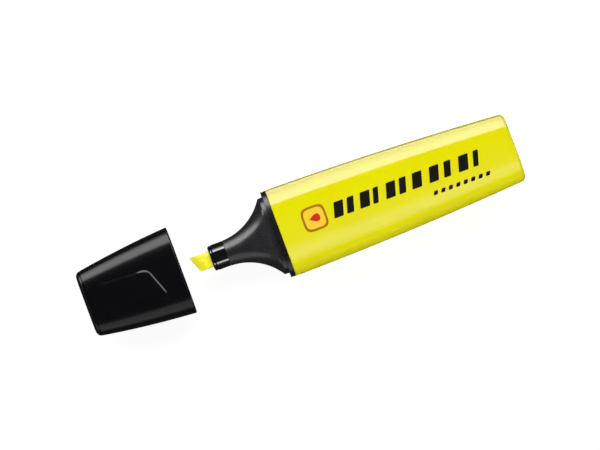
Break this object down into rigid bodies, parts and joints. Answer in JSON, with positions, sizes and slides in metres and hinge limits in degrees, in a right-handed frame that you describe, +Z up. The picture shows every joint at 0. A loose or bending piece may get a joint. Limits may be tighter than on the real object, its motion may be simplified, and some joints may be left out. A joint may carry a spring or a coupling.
{
  "type": "highlighter",
  "caption": "Flat tapered highlighter pen lying on its broad face, with a flared dark grip, a slanted chisel nib and its cap pulled off in line with it.",
  "frame": {"origin": "on the surface that the highlighter lies on, under the middle of its box with the cap pulled off", "axes": "+X from the cap and nib towards the barrel's rear, +Y across the broad face towards the nib's longer side, +Z up out of the broad face; the pen's own axis lies in the XZ plane and drops 0.93 degrees towards the rear, because the barrel gets thinner there"},
  "size_m": [0.1356, 0.027, 0.0175],
  "materials": {
    "barrel_plastic": "bright yellow moulded plastic, glossy",
    "grip_plastic": "dark grey-black moulded plastic, satin",
    "nozzle_plastic": "black moulded plastic, high gloss",
    "nib_fibre": "pressed fibre soaked with yellow ink, matt",
    "reservoir_fibre": "bundled fibre soaked with yellow ink, matt",
    "clear_film": "clear film, glossy",
    "cap_plastic": "black moulded plastic, satin to glossy"
  },
  "bodies": {
    "pen": {"barrel": "barrel_plastic", "end_plug": "barrel_plastic", "front_section": "grip_plastic", "nib_holder": "nozzle_plastic", "nib": "nib_fibre", "reservoir_core": "reservoir_fibre", "reservoir_wrap": "clear_film"},
    "cap": {"cap_shell": "cap_plastic", "cap_liner": "cap_plastic"}
  },
  "joints": [
    {"name": "cap_slide", "type": "slide", "parent": "pen", "child": "cap", "axis": [-0.9999, 0, 0.0162], "range_m": [-0.02975, 0.03]}
  ]
}
